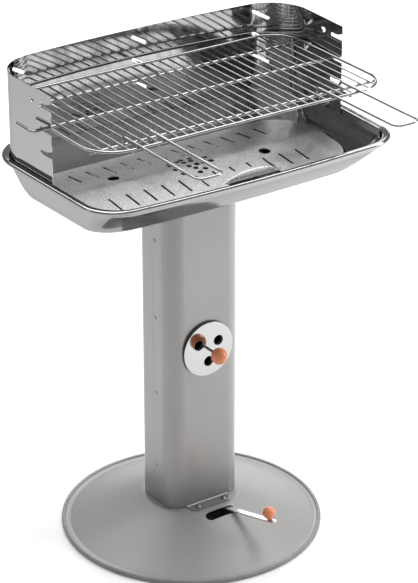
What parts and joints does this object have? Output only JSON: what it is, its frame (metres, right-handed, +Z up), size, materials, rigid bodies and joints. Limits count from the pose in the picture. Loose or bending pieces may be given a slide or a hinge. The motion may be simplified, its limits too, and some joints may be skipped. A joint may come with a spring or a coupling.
{
  "type": "pedestal charcoal barbecue",
  "caption": "Free-standing charcoal barbecue: a trough bowl with windshield and lift-out grill on a steel column over a round base, with wooden air knobs.",
  "frame": {"origin": "centre of the round base, on the ground", "axes": "+Z up the column, +X to the right along the long bowl, -Y towards the cook, where the lever and handles are"},
  "size_m": [0.6722, 0.6205, 0.949],
  "materials": {
    "column_paint": "satin grey paint",
    "base_paint": "satin grey paint",
    "edging_plastic": "grey moulded edging",
    "bowl_steel": "polished sheet",
    "shield_steel": "bright sheet",
    "mirror_steel": "mirror",
    "plate_steel": "dull sheet",
    "lever_steel": "bright strip",
    "chromed_wire": "bright chromed wire",
    "zinc_steel": "zinc plated",
    "turned_wood": "varnished turned wood"
  },
  "bodies": {
    "stand": {"base_disc": "base_paint", "base_edging": "edging_plastic", "column_front": "column_paint", "column_rear": "column_paint", "column_head_frame": "zinc_steel", "foot_screws": "zinc_steel", "foot_nuts": "zinc_steel", "seam_screws": "column_paint", "head_bolts": "zinc_steel", "head_nuts": "zinc_steel", "damper_pivot": "zinc_steel", "damper_pivot_nut": "zinc_steel", "bowl": "bowl_steel", "windshield": "shield_steel", "windshield_screws": "zinc_steel", "windshield_nuts": "zinc_steel"},
    "damper": {"damper_plate": "plate_steel", "damper_lever": "lever_steel", "damper_rivets": "zinc_steel", "damper_knob": "turned_wood"},
    "vent": {"vent_disc": "mirror_steel", "vent_spindle": "zinc_steel", "vent_washer": "zinc_steel", "vent_nut": "zinc_steel", "vent_knob": "turned_wood"},
    "charcoal_tray": {"charcoal_plate": "plate_steel"},
    "grill": {"grill_frame": "chromed_wire", "grill_wires": "chromed_wire", "grill_cross_rods": "chromed_wire", "grill_rear_pegs": "chromed_wire"},
    "left_handle": {"handle_left": "chromed_wire"},
    "right_handle": {"handle_right": "chromed_wire"}
  },
  "joints": [
    {"name": "damper_swing", "type": "hinge", "parent": "stand", "child": "damper", "pos_m": [0, 0, 0.056], "axis": [0, 0, 1], "range_deg": [-27, 0]},
    {"name": "vent_turn", "type": "hinge", "parent": "stand", "child": "vent", "pos_m": [0, -0.056, 0.388], "axis": [0, -1, 0], "range_deg": [0, 60]},
    {"name": "plate_lift", "type": "slide", "parent": "stand", "child": "charcoal_tray", "axis": [0, 0, 1], "range_m": [0, 0.09]},
    {"name": "grill_slide", "type": "slide", "parent": "stand", "child": "grill", "axis": [0, -1, 0], "range_m": [0, 0.12]},
    {"name": "handle_left_tilt", "type": "hinge", "parent": "grill", "child": "left_handle", "pos_m": [-0.20378, -0.15, 0.88055], "axis": [-1, 0, 0], "range_deg": [0, 35]},
    {"name": "handle_right_tilt", "type": "hinge", "parent": "grill", "child": "right_handle", "pos_m": [0.20378, -0.15, 0.88055], "axis": [-1, 0, 0], "range_deg": [0, 35]}
  ]
}
